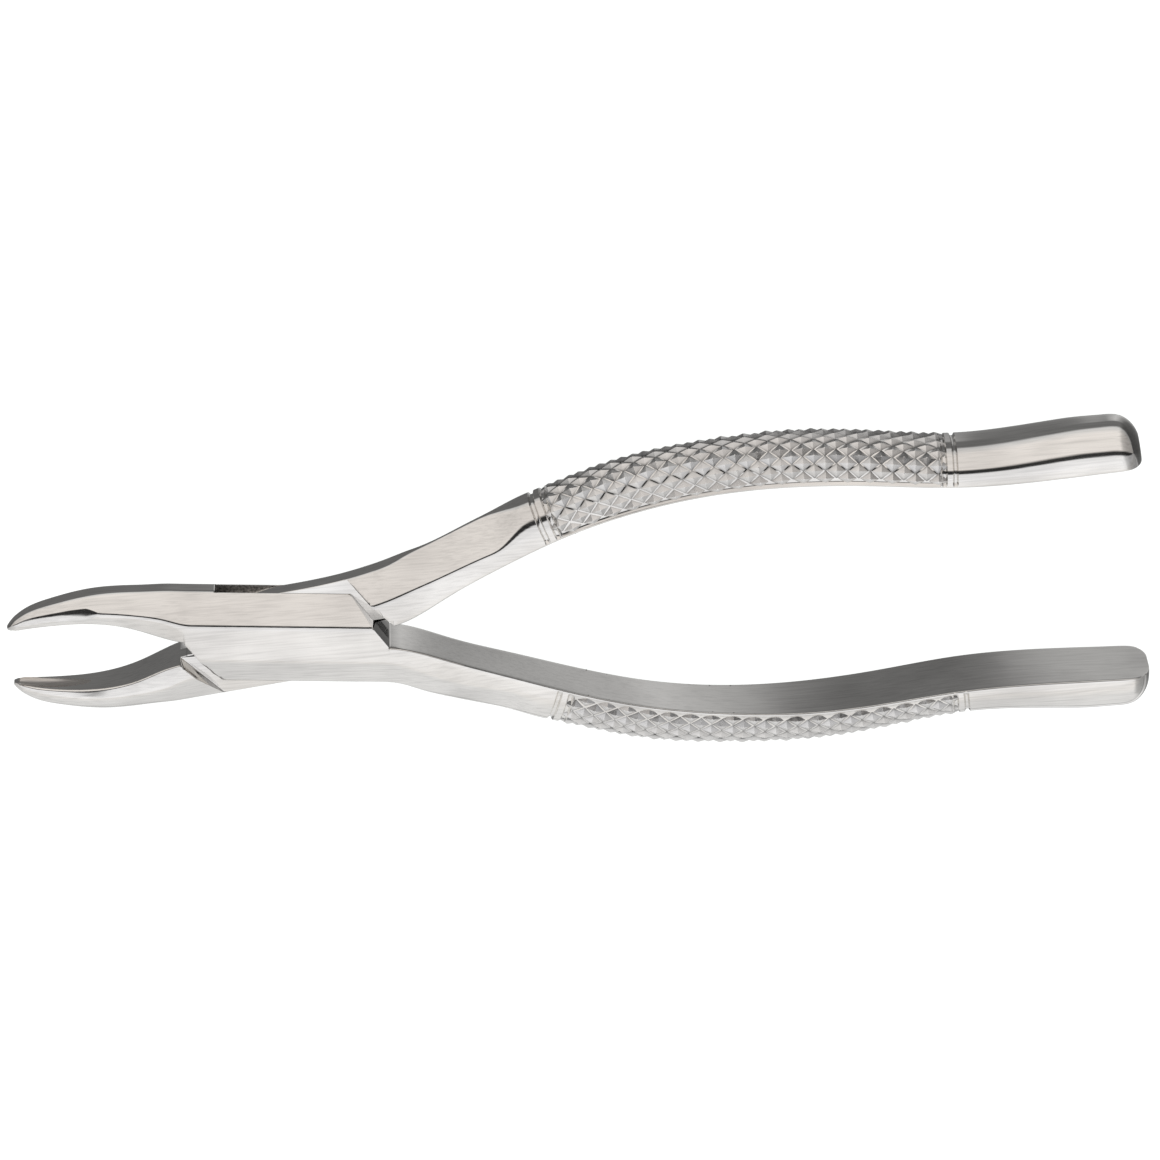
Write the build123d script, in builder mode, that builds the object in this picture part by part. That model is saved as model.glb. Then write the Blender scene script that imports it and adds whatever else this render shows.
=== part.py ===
"""Dental extraction forceps with a box lock.

Two one-piece forgings cross at a box lock. The box half carries two cheeks with a slot between
them, the tongue half passes through the slot, and a rivet finished flush with both cheeks is the
pivot pin. Frame: the origin is where the pivot axis meets the flat rear cheek, +X runs along the
handles, +Y is the side of the tongue half's handle and +Z is the pivot axis, towards the front.
"""

import os
from math import atan2, cos, degrees, hypot, radians, sin, tan

from build123d import *

# Reach from the pivot axis, in millimetres
beak_length = 43.0
handle_length = 134.0

# Box lock
box_thickness = 9.2
box_half_width = 7.76  # at the pivot axis
box_taper = 5.8  # degrees, slope of the long edges of the box
box_edge_radius = 3.0
root_reach = 15.8  # where the beaks and handles grow out of the box
cheek_angle = 32.5  # degrees from +X to the normal of the cheek ends
cheek_reach = 12.4  # pivot axis to the cheek ends
tongue_thickness = 2.8
tongue_side_clearance = 0.05
shoulder_clearance = 1.2  # between the turning cheek corner and the shoulder
shoulder_start = 3.0  # where the tongue half's upper edge begins to rise to its shoulder
shoulder_rise = 1.3  # how much more it has risen at the root
shoulder_lift = 1.2  # keeps the start of that rise above the waist
web_reach = 10.4  # pivot axis to the end walls of the slot
web_root_gap = 1.0  # height of the slot's inner corners over the centre plane
web_tip = 0.3  # how far the slot stays clear of the beak root, along the cheek end

# Motion of the tongue half about the pivot axis, in degrees from the modelled pose
closing_angle = 11.0
opening_angle = 16.0
stop_clearance = 0.1
waist_clear_angle = 1.8  # kept between the waist of the tongue and the slot's inner corners

# Pivot pin
pin_diameter = 4.0
pin_running_clearance = 0.03
rivet_head_diameter = 6.0
rivet_head_depth = 1.0

# Beaks: share of the beak beyond the root, stand-off of the inner face from the centre plane,
# width of that face, greatest width, depth from the face to the back, height of the sides
beak_stations = (
    (0.10, 2.5, 7.8, 9.0, 7.25, 3.8),
    (0.28, 4.4, 7.0, 8.3, 5.60, 2.6),
    (0.51, 5.6, 5.7, 7.2, 4.30, 1.7),
    (0.74, 5.5, 4.6, 5.5, 3.20, 1.0),
    (0.89, 5.0, 3.6, 4.0, 2.30, 0.6),
    (1.00, 4.4, 2.2, 2.3, 0.90, 0.2),
)
scoop_ends = (0.46, 0.93)  # the hollow ground into the inner face, as shares of the beak
scoop_height = 5.85  # deepest line of the hollow over the centre plane
scoop_depth = 0.7
scoop_radius = 3.0

# Handles: share of the handle beyond the root, stand-off of the flat inner face from the centre
# plane, width of that face, depth from it to the crown, height of the straight sides
handle_stations = (
    (0.082, 5.6, 8.7, 7.9, 3.6),
    (0.154, 9.4, 9.1, 7.4, 2.8),
    (0.227, 12.9, 9.5, 7.0, 1.6),
    (0.332, 16.7, 9.6, 7.2, 1.0),
    (0.442, 18.9, 10.2, 6.8, 1.0),
    (0.543, 19.5, 11.5, 6.5, 1.0),
    (0.645, 18.8, 12.2, 6.0, 1.0),
    (0.746, 17.6, 12.6, 5.6, 1.0),
    (0.856, 17.4, 12.5, 6.3, 1.2),
    (0.946, 17.8, 12.2, 6.8, 1.4),
)
handle_sweep = 2.6  # how far the handles are set back behind the box
sweep_share = 0.23  # share of the handle over which the set-back happens
crown_flat = 0.5  # half width of the level crown
end_girth = 6.9  # greatest distance of the handle end's skin from the middle of its flat face
end_round = 5.2  # rounding of the handle end
collar_stations = (2, 7)  # the handle stations that carry the two collars
groove_width = 0.8
groove_depth = 0.45
groove_spacing = 1.7

# Where a beak or a handle starts inside the box, and how far it stays under the box's skin
root_overlap = 1.2
root_inset = 0.03
round_pull = 0.56  # pull of a rounded corner's control points; 0.5523 is a circle

# Derived places
mid = box_thickness / 2
slot_width = tongue_thickness + 2 * tongue_side_clearance
taper = tan(radians(box_taper))
cheek_normal = (cos(radians(cheek_angle)), sin(radians(cheek_angle)))


def box_edge(x):
    """Height of the upper long edge of the box half at x."""
    return box_half_width - taper * x


def lying(point):
    """The same point on the opposite side of the pivot axis."""
    return (-point[0], -point[1])


def turned(reach, angle):
    """The point at this reach from the pivot axis, at an angle in degrees from +X."""
    return (reach * cos(radians(angle)), reach * sin(radians(angle)))


# The cheek end runs from the box's long edge to the root of the handle
corner_x = cheek_reach - cheek_normal[1] * box_half_width
corner_x = corner_x / (cheek_normal[0] - cheek_normal[1] * taper)
cheek_corner = (corner_x, box_edge(corner_x))
root_gap = (cheek_normal[0] * root_reach - cheek_reach) / cheek_normal[1]
root_top = (-root_reach, box_edge(-root_reach))
beak_root = (-root_reach, root_gap)
slot_tip = (-root_reach + web_tip * cheek_normal[1], root_gap - web_tip * cheek_normal[0])
shoulder_angle = cheek_angle + closing_angle
shoulder_reach = hypot(*cheek_corner) + shoulder_clearance

# The waist of the tongue turns inside the slot, so it keeps within the sweep of the slot's inner
# corners, and its stop faces meet the end walls where the forceps are fully open
waist_reach = web_reach - stop_clearance
inner_turn = 180 + closing_angle - degrees(atan2(web_root_gap, web_reach)) + waist_clear_angle
stop_turn = 180 - opening_angle
waist_inner = turned(waist_reach, inner_turn)
waist_middle = turned(waist_reach, (inner_turn + stop_turn) / 2)
waist_stop = turned(waist_reach, stop_turn)
stop_normal = turned(1, stop_turn)
waist_x = waist_reach - stop_normal[1] * box_half_width
waist_x = waist_x / (stop_normal[0] + stop_normal[1] * taper)
waist_corner = (waist_x, box_edge(-waist_x))

# Rivet, radius against height
shank = pin_diameter / 2
head = rivet_head_diameter / 2
rivet_outline = (
    (0, 0),
    (head, 0),
    (shank, rivet_head_depth),
    (shank, box_thickness - rivet_head_depth),
    (head, box_thickness),
    (0, box_thickness),
    (0, 0),
)


def section_plane(x, stand_off, z, heading, side):
    """Plane across a beak or handle, its y pointing from the inner face to the back."""
    return Plane(
        origin=(x, side * stand_off, z),
        x_dir=(0, 0, -side),
        z_dir=(cos(heading), side * sin(heading), 0),
    )


def cross_section(plane, face_width, width, depth, side_height, crown):
    """Flat inner face, straight sides and a rounded back."""
    half = width / 2
    knee = side_height + round_pull * (depth - side_height)
    shoulder = crown + round_pull * (half - crown)
    with BuildSketch(plane) as drawn:
        with BuildLine():
            Line((-face_width / 2, 0), (face_width / 2, 0))
            Line((face_width / 2, 0), (half, side_height))
            Bezier((half, side_height), (half, knee), (shoulder, depth), (crown, depth))
            Line((crown, depth), (-crown, depth))
            Bezier((-crown, depth), (-shoulder, depth), (-half, knee), (-half, side_height))
            Line((-half, side_height), (-face_width / 2, 0))
        make_face()
    return drawn.sketch


def root_section(side):
    """First section of the upper beak (side 1) or the lower handle (side -1), inside the box."""
    x = side * (root_overlap - root_reach)
    plane = section_plane(x, root_gap, mid, 0, side)
    width = box_thickness - 2 * root_inset
    depth = box_edge(-root_reach + root_overlap) - root_gap - root_inset
    level = mid - box_edge_radius
    return cross_section(plane, width, width, depth, depth - box_edge_radius, level)


def smooth_step(share):
    """Rises from 0 to 1 with level ends."""
    held = min(max(share, 0.0), 1.0)
    return held * held * (3 - 2 * held)


# Plan of the box half between its two roots
with BuildPart() as cheek_block:
    with BuildSketch(Plane.XY):
        upper = (beak_root, root_top, cheek_corner)
        Polygon(*upper, *(lying(point) for point in upper), align=None)
    extrude(amount=box_thickness)
    level_edges = cheek_block.edges().filter_by(GeomType.LINE).group_by(Axis.Z)
    level_edges = ShapeList(level_edges[0] + level_edges[-1])
    fillet(level_edges.sort_by(SortBy.LENGTH)[-4:], radius=box_edge_radius)


# Upper beak, from the box to its hooked tip
beak_run = beak_length - root_reach
beak_line = [beak_root]
beak_line += [(-root_reach - row[0] * beak_run, row[1]) for row in beak_stations]
beak_sections = [root_section(1)]
for count, row in enumerate(beak_stations):
    stand_off, face_width, width, depth, side_height = row[1:]
    before = beak_line[count]
    after = beak_line[min(count + 2, len(beak_line) - 1)]
    heading = atan2(before[1] - after[1], before[0] - after[0])
    plane = section_plane(beak_line[count + 1][0], stand_off, mid, heading, 1)
    crown = (mid - box_edge_radius) * width / box_thickness
    beak_sections.append(cross_section(plane, face_width, width, depth, side_height, crown))

scoop_from = -root_reach - scoop_ends[1] * beak_run
scoop_to = -root_reach - scoop_ends[0] * beak_run
scoop_axis = scoop_height - scoop_radius
scoop_rim = scoop_height - scoop_depth

with BuildPart() as beak:
    loft(sections=beak_sections)
    # the hollow is cut by a long spindle that lies between the beak and the centre plane
    with BuildSketch(Plane.XY.offset(mid)):
        with BuildLine():
            deepest = ((scoop_from + scoop_to) / 2, scoop_height)
            ThreePointArc((scoop_from, scoop_rim), deepest, (scoop_to, scoop_rim))
            Polyline((scoop_to, scoop_rim), (scoop_to, scoop_axis), (scoop_from, scoop_axis))
            Line((scoop_from, scoop_axis), (scoop_from, scoop_rim))
        make_face()
    revolve(axis=Axis((0, scoop_axis, mid), (1, 0, 0)), mode=Mode.SUBTRACT)


# Lower handle, from the box to its rounded end
handle_run = handle_length - root_reach
handle_line = [(root_reach, root_gap)]
handle_line += [(root_reach + row[0] * handle_run, row[1]) for row in handle_stations]


def handle_plane(index, along=0.0):
    """Plane across the lower handle at one of its stations, or further along by some length."""
    x, stand_off = handle_line[index]
    before = handle_line[index - 1]
    after = handle_line[min(index + 1, len(handle_line) - 1)]
    heading = atan2(after[1] - before[1], after[0] - before[0])
    back = handle_sweep * smooth_step((x - root_reach) / (sweep_share * handle_run))
    return section_plane(x + along, stand_off + along * tan(heading), mid - back, heading, -1)


handle_sections = []
for count, row in enumerate(handle_stations):
    width, depth, side_height = row[2:]
    plane = handle_plane(count + 1)
    handle_sections.append(cross_section(plane, width, width, depth, side_height, crown_flat))

# the last section is repeated just past the end, and the end is then rounded
end_width, end_depth, end_side = handle_stations[-1][2:]
end_plane = handle_plane(len(handle_line) - 1, handle_length - handle_line[-1][0] + root_overlap)
handle_sections.append(cross_section(end_plane, end_width, end_width, end_depth, end_side, crown_flat))
end_flat = end_plane.origin.Y
end_centre = end_plane.origin.Z


def handle_form(first_sections):
    """Lower handle that grows out of the given sections, with its collars and rounded end."""
    with BuildPart() as formed:
        loft(sections=[*first_sections, *handle_sections])
        with BuildSketch(Plane.XY.offset(end_centre)):
            with BuildLine():
                Polyline(
                    (handle_length, end_flat - end_girth + end_round),
                    (handle_length, end_flat),
                    (handle_length + end_round, end_flat),
                    (handle_length + end_round, end_flat - 2 * end_girth),
                    (handle_length - end_round, end_flat - 2 * end_girth),
                    (handle_length - end_round, end_flat - end_girth),
                )
                RadiusArc(
                    (handle_length - end_round, end_flat - end_girth),
                    (handle_length, end_flat - end_girth + end_round),
                    -end_round,
                )
            make_face()
        revolve(axis=Axis((0, end_flat, end_centre), (1, 0, 0)), mode=Mode.SUBTRACT)
        # each collar is a bead between two grooves that leave the flat face whole
        for station in collar_stations:
            width, depth, side_height = handle_stations[station][2:]
            core_width = width - 2 * groove_depth
            core_depth = depth - groove_depth
            core = cross_section(Plane.XY, core_width, core_width, core_depth, side_height, crown_flat)
            for shift in (-groove_spacing / 2, groove_spacing / 2):
                with BuildSketch(handle_plane(station + 1, shift)):
                    with Locations((0, depth + groove_depth)):
                        Rectangle(2 * width, 2 * depth)
                    add(core, mode=Mode.SUBTRACT)
                extrude(amount=groove_width / 2, both=True, mode=Mode.SUBTRACT)
    return formed.part


def shoulder_section(x):
    """Section of the tongue half's handle where its edge rises to the shoulder, drawn below."""
    share = (x - shoulder_start) / (root_reach - shoulder_start)
    stand_off = root_gap + shoulder_lift * (1 - share)
    depth = box_edge(-x) + shoulder_rise * share**2 - stand_off - root_inset
    width = box_thickness - 2 * root_inset
    plane = section_plane(x, stand_off, mid, 0, -1)
    return cross_section(plane, width, width, depth, depth - box_edge_radius, mid - box_edge_radius)


shoulder_sections = []
for x in (shoulder_start, (shoulder_start + root_reach) / 2, root_reach):
    shoulder_sections.append(shoulder_section(x))


# Box half: upper beak, two cheeks with the slot between them, lower handle
with BuildPart() as box_half:
    add(cheek_block.part)
    add(beak.part)
    add(handle_form([root_section(-1)]))
    # the slot is open at the long edges and the cheek ends, and closed by the two webs
    with BuildSketch(Plane.XY.offset(mid)):
        wall = (
            (-web_reach, 2 * box_half_width),
            (-web_reach, web_root_gap),
            slot_tip,
            (slot_tip[0] - web_tip, slot_tip[1] - web_reach),
            (-web_reach, -2 * box_half_width),
        )
        Polygon(*wall, *(lying(point) for point in wall), align=None)
    extrude(amount=slot_width / 2, both=True, mode=Mode.SUBTRACT)
    # the rivet fills its hole and the countersinks in both cheeks
    with BuildSketch(Plane.XZ):
        with BuildLine():
            Polyline(*rivet_outline)
        make_face()
    revolve(axis=Axis.Z, mode=Mode.SUBTRACT)


# Tongue half: lower beak, the thin tongue that passes through the slot, upper handle
with BuildPart() as tongue_half:
    with BuildSketch(Plane.XY):
        with BuildLine() as waist:
            Line(lying((root_reach, root_gap)), waist_inner)
            ThreePointArc(waist_inner, waist_middle, waist_stop)
            Polyline(waist_stop, waist_corner, (root_reach, root_top[1]), (root_reach, root_gap))
            add(waist.line, rotation=180)
        make_face()
    extrude(amount=box_thickness)
    level_edges = tongue_half.edges().filter_by(GeomType.LINE).group_by(Axis.Z)
    level_edges = ShapeList(level_edges[0] + level_edges[-1])
    fillet(level_edges.sort_by(SortBy.LENGTH)[-4:], radius=box_edge_radius)
    mirror(beak.part, about=Plane.XZ)
    mirror(handle_form(shoulder_sections), about=Plane.XZ)
    # both recesses end at the shoulders, which face the cheek ends
    with BuildSketch(Plane.XY.offset(mid + tongue_thickness / 2)):
        Rectangle(2 * shoulder_reach, 4 * box_half_width, rotation=shoulder_angle)
    extrude(amount=box_thickness, mode=Mode.SUBTRACT)
    with BuildSketch(Plane.XY.offset(mid - tongue_thickness / 2)):
        Rectangle(2 * shoulder_reach, 4 * box_half_width, rotation=shoulder_angle)
    extrude(amount=-box_thickness, mode=Mode.SUBTRACT)
    with BuildSketch(Plane.XY):
        Circle(pin_diameter / 2 + pin_running_clearance)
    extrude(amount=box_thickness, mode=Mode.SUBTRACT)


# Pivot pin: a rivet whose heads are set in the cheeks and ground flush
with BuildPart() as pivot_pin:
    with BuildSketch(Plane.XZ):
        with BuildLine():
            Polyline(*rivet_outline)
        make_face()
    revolve(axis=Axis.Z)


os.makedirs("parts", exist_ok=True)

box_half.part.label = "box_half"
export_step(box_half.part, "parts/box_half.step")
tongue_half.part.label = "tongue_half"
export_step(tongue_half.part, "parts/tongue_half.step")
pivot_pin.part.label = "pivot_pin"
export_step(pivot_pin.part, "parts/pivot_pin.step")
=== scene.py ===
"""Looks of a pair of dental extraction forceps with a box lock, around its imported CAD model.

Sizes are in millimetres in the classes below and become metres where a mesh is made. The frame is
the CAD frame: the pivot axis stands on the origin, +X runs along the handles, +Y is the side of
the tongue half's handle and +Z points to the front cheek.
"""

import logging
from dataclasses import dataclass, field
from enum import Enum
from math import cos, hypot, pi, radians, sin, tan

import bmesh
import bpy
import numpy as np
from mathutils import Matrix, Vector


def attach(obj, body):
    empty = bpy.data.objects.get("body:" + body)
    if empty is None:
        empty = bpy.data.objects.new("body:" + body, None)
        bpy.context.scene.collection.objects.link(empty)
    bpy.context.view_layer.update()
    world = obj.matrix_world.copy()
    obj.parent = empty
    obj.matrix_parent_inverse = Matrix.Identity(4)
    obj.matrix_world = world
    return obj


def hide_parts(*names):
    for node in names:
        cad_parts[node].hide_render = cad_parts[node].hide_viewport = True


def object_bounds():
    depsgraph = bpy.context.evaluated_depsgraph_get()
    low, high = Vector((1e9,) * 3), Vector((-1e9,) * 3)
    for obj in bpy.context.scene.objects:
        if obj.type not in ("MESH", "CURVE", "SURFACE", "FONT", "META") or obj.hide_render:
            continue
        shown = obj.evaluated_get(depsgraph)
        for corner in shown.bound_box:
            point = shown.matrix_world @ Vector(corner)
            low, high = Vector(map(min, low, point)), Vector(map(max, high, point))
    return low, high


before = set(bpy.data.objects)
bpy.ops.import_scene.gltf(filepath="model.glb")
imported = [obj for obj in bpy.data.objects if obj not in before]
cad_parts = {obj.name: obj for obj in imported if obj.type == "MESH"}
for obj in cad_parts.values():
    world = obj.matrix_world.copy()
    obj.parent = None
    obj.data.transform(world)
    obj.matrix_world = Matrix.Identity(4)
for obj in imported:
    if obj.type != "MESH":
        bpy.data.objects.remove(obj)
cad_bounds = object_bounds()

MM = 0.001
TINY = 1e-6
PAST_CENTRE = 0.001  # keeps the middle of the end's flat just off its own skin
PROBE = 0.05  # a short step along the handle, to find its direction
CROWN_STEPS = 400  # places at which the length of the handle's crown is measured
FAR = 14.0  # past the edges of the lock
BELOW, ABOVE = -5.0, 15.0  # heights past both faces of the lock
PALE = (0.985, 1.0, 0.99, 1.0)  # background and floor
SMOOTH_ANGLE = radians(28)  # edges sharper than this are shaded hard
log = logging.getLogger("forceps")


class Slot(Enum):
    """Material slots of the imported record."""

    BOX = "box_half_steel"
    TONGUE = "tongue_half_steel"
    PIN = "pin_steel"


class Role(Enum):
    """What a patch of a forging is finished as; the value is its material index."""

    POLISHED = 0
    INNER_FLAT = 1
    SLOT = 2
    SCOOP = 3


class Side(Enum):
    """Side of the centre plane that a half's beak lies on."""

    UPPER = 1
    LOWER = -1


# ---------------------------------------------------------------- nodes


class Tree:
    """Short forms for adding nodes to a node tree."""

    def __init__(self, tree: bpy.types.NodeTree) -> None:
        """Keeps the tree."""
        self.tree = tree

    def add(self, kind: str, sockets: dict | None = None, **values: object) -> bpy.types.Node:
        """Adds a node, sets its properties and feeds its inputs.

        Args:
            kind: the node's type name.
            sockets: input name or number, with the socket that feeds it or its plain value.
            values: properties of the node by name.

        Returns:
            The new node.
        """
        node = self.tree.nodes.new(kind)
        for name, value in values.items():
            setattr(node, name, value)
        for key, value in (sockets or {}).items():
            if isinstance(value, bpy.types.NodeSocket):
                self.tree.links.new(value, node.inputs[key])
            else:
                node.inputs[key].default_value = value
        return node

    def noise(self, place: bpy.types.NodeSocket, scale: float,
              detail: float) -> bpy.types.NodeSocket:
        """Adds a noise texture."""
        sockets = {"Vector": place, "Scale": scale, "Detail": detail}
        return self.add("ShaderNodeTexNoise", sockets).outputs["Fac"]

    def ramp(self, value: bpy.types.NodeSocket, stops: tuple) -> bpy.types.NodeSocket:
        """Adds a colour ramp.

        Args:
            value: the value that runs along the ramp.
            stops: position and grey or colour of each stop.

        Returns:
            The ramp's colour.
        """
        node = self.add("ShaderNodeValToRGB", {"Fac": value})
        row = node.color_ramp.elements
        while len(row) < len(stops):
            row.new(0.5)
        for element, (place, shade) in zip(row, stops):
            element.position = place
            colour = shade if isinstance(shade, tuple) else (shade, shade, shade)
            element.color = (*colour, 1.0)
        return node.outputs["Color"]

    def mixed(self, how: str, first: bpy.types.NodeSocket,
              second: bpy.types.NodeSocket) -> bpy.types.NodeSocket:
        """Multiplies or adds two colours.

        Args:
            how: MULTIPLY or ADD.
            first: one colour.
            second: the other colour.

        Returns:
            The resulting colour.
        """
        sockets = {"Factor": 1.0, "A": first, "B": second}
        mix = self.add("ShaderNodeMix", sockets, data_type="RGBA", blend_type=how)
        return mix.outputs["Result"]

    def mapped(self, scale: tuple = (1, 1, 1), turn: float = 0.0) -> bpy.types.NodeSocket:
        """Object coordinates, turned about Z and then stretched.

        Args:
            scale: stretch along the turned axes.
            turn: the turn in degrees.

        Returns:
            The coordinates.
        """
        place = self.add("ShaderNodeTexCoord").outputs["Object"]
        sockets = {"Vector": place, "Rotation": (0, 0, radians(turn)), "Scale": scale}
        return self.add("ShaderNodeMapping", sockets).outputs["Vector"]


def fresh_material(name: str) -> tuple[bpy.types.Material, Tree, bpy.types.Node]:
    """An empty node material with a Principled shader.

    Args:
        name: the material's name.

    Returns:
        The material, its tree and the shader node.
    """
    material = bpy.data.materials.new(name)
    material.use_nodes = True
    tree = Tree(material.node_tree)
    material.node_tree.nodes.clear()
    shader = tree.add("ShaderNodeBsdfPrincipled")
    tree.add("ShaderNodeOutputMaterial", {"Surface": shader.outputs["BSDF"]})
    return material, tree, shader


# ---------------------------------------------------------------- finishes


@dataclass(frozen=True)
class Steel:
    """What the steel finishes share: a metal whose colour, gloss and relief vary."""

    name: str = "steel"
    relief: float = 0.14  # strength of the bump
    relief_depth: float = 0.02  # its height in millimetres
    anisotropy: float = 0.0

    def surface(self, tree: Tree) -> tuple:
        """The finish's own pattern."""
        raise NotImplementedError

    def make(self) -> bpy.types.Material:
        """Builds the material.

        Returns:
            The material.
        """
        material, tree, shader = fresh_material(self.name)
        colour, roughness, height = self.surface(tree)
        shader.inputs["Metallic"].default_value = 1.0
        shader.inputs["Anisotropic"].default_value = self.anisotropy
        tree.tree.links.new(colour, shader.inputs["Base Color"])
        if isinstance(roughness, float):
            shader.inputs["Roughness"].default_value = roughness
        else:
            tree.tree.links.new(roughness, shader.inputs["Roughness"])
        sockets = {"Strength": self.relief, "Distance": self.relief_depth * MM, "Height": height}
        bump = tree.add("ShaderNodeBump", sockets)
        tree.tree.links.new(bump.outputs["Normal"], shader.inputs["Normal"])
        return material


@dataclass(frozen=True)
class PolishedSteel(Steel):
    """Stainless steel buffed to a bright finish, with fine buffing lines and soft smears."""

    name: str = "polished_steel"
    anisotropy: float = 0.3
    light: tuple = (0.92, 0.905, 0.88)
    dark: tuple = (0.78, 0.765, 0.745)
    roughness: tuple = (0.06, 0.12)
    line_turn: float = 38.0  # degrees, direction of the buffing lines in the plane of the box
    line_stretch: tuple = (110, 3400, 3400)
    cross_stretch: tuple = (60, 1700, 1700)

    def surface(self, tree: Tree) -> tuple:
        """Smears under two sets of crossing lines.

        Args:
            tree: the material's nodes.

        Returns:
            Sockets for the colour, the roughness and the relief's height.
        """
        smears = tree.noise(tree.mapped(), 70, 3)
        lines = tree.noise(tree.mapped(self.line_stretch, self.line_turn), 1, 4)
        crossed = tree.noise(tree.mapped(self.cross_stretch, -self.line_turn), 1, 3)
        colour = tree.ramp(smears, ((0.35, self.dark), (0.62, self.light)))
        colour = tree.mixed("MULTIPLY", colour, tree.ramp(lines, ((0.3, 0.88), (0.55, 1.0))))
        colour = tree.mixed("MULTIPLY", colour, tree.ramp(crossed, ((0.3, 0.93), (0.5, 1.0))))
        low, high = self.roughness
        both = tree.add("ShaderNodeMath", {0: lines, 1: crossed}, operation="ADD")
        return colour, tree.ramp(lines, ((0.3, low), (0.75, high))), both.outputs["Value"]


@dataclass(frozen=True)
class GroundSteel(Steel):
    """Satin steel left from the wheel in the beaks' hollows, with lines along one direction."""

    name: str = "scoop_steel"
    relief: float = 0.08
    light: tuple = (0.88, 0.83, 0.78)
    dark: tuple = (0.66, 0.62, 0.58)
    roughness: tuple = (0.22, 0.34)
    line_stretch: tuple = (300, 300, 2600)

    def surface(self, tree: Tree) -> tuple:
        """Grinding lines, with clouds in the gloss.

        Args:
            tree: the material's nodes.

        Returns:
            Sockets for the colour, the roughness and the relief's height.
        """
        lines = tree.noise(tree.mapped(self.line_stretch), 1, 5)
        clouds = tree.noise(tree.mapped(), 160, 2)
        low, high = self.roughness
        return (tree.ramp(lines, ((0.3, self.dark), (0.7, self.light))),
                tree.ramp(clouds, ((0.3, low), (0.7, high))), lines)


@dataclass(frozen=True)
class ShadedRoughSlotSteel(Steel):
    """Unpolished, speckled steel inside the slot, darkened partly as painted shade of the recess.
    """

    name: str = "slot_steel_painted_shade"
    relief: float = 0.5
    relief_depth: float = 0.06
    # painted shade: these greys are far darker than bare steel; the grain is real, the darkness
    # stands in partly for the slot's shade
    light: tuple = (0.52, 0.5, 0.48)
    dark: tuple = (0.17, 0.165, 0.16)
    roughness: float = 0.48

    def surface(self, tree: Tree) -> tuple:
        """Dark and light grains, whose dark level is partly painted shade.

        Args:
            tree: the material's nodes.

        Returns:
            Sockets for the colour, the roughness and the relief's height.
        """
        grains = tree.noise(tree.mapped(), 2600, 5)
        return tree.ramp(grains, ((0.35, self.dark), (0.7, self.light))), self.roughness, grains


@dataclass(frozen=True)
class KnurlSteel(Steel):
    """Bright rolled knurling, with painted shade darkening it towards its grooves."""

    name: str = "knurl_steel"
    relief: float = 0.25
    relief_depth: float = 0.03
    light: tuple = (1.0, 0.99, 0.975)
    dark: tuple = (0.82, 0.81, 0.8)
    roughness: tuple = (0.2, 0.34)
    height_attribute: str = "peak_share"

    def surface(self, tree: Tree) -> tuple:
        """Painted shade in the grooves, under a fine speckle.

        Args:
            tree: the material's nodes.

        Returns:
            Sockets for the colour, the roughness and the relief's height.
        """
        height = tree.add("ShaderNodeAttribute", attribute_name=self.height_attribute)
        # painted shade: the colour darkens from the peaks' tips down into the grooves between them
        groove_shade = tree.ramp(height.outputs["Fac"], ((0.0, 0.35), (0.35, 0.82), (1.0, 0.93)))
        grains = tree.noise(tree.mapped(), 900, 4)
        speckle = tree.ramp(grains, ((0.3, self.dark), (0.7, self.light)))
        low, high = self.roughness
        return (tree.mixed("MULTIPLY", groove_shade, speckle),
                tree.ramp(grains, ((0.3, low), (0.7, high))), grains)


# ---------------------------------------------------------------- curves and sections


def bend(start: np.ndarray, corner: np.ndarray, end: np.ndarray, t: float) -> np.ndarray:
    """A point of the soft bend from start to end round a corner, a share t of the way."""
    return (1 - t) ** 2 * start + 2 * t * (1 - t) * corner + t * t * end


class Spline:
    """Natural cubic curve through rows of values."""

    def __init__(self, knots: list[float], rows: list[tuple]) -> None:
        """Solves the curve.

        Args:
            knots: increasing places of the rows.
            rows: one tuple of values for each knot.
        """
        x = np.array(knots, float)
        y = np.array(rows, float)
        h = np.diff(x)
        count = len(x)
        left = np.eye(count)
        right = np.zeros_like(y)
        slope = np.diff(y, axis=0) / h[:, None]
        for i in range(1, count - 1):
            left[i, i - 1 : i + 2] = h[i - 1], 2 * (h[i - 1] + h[i]), h[i]
            right[i] = 6 * (slope[i] - slope[i - 1])
        self.x, self.y, self.h = x, y, h
        self.curl = np.linalg.solve(left, right)

    def at(self, place: float) -> np.ndarray:
        """The row of values at a place.

        Args:
            place: where along the knots.

        Returns:
            The interpolated values.
        """
        i = int(np.clip(np.searchsorted(self.x, place) - 1, 0, len(self.h) - 1))
        h = self.h[i]
        a = (self.x[i + 1] - place) / h
        b = 1 - a
        curl = (a**3 - a) * self.curl[i] + (b**3 - b) * self.curl[i + 1]
        return a * self.y[i] + b * self.y[i + 1] + curl * h * h / 6


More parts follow.
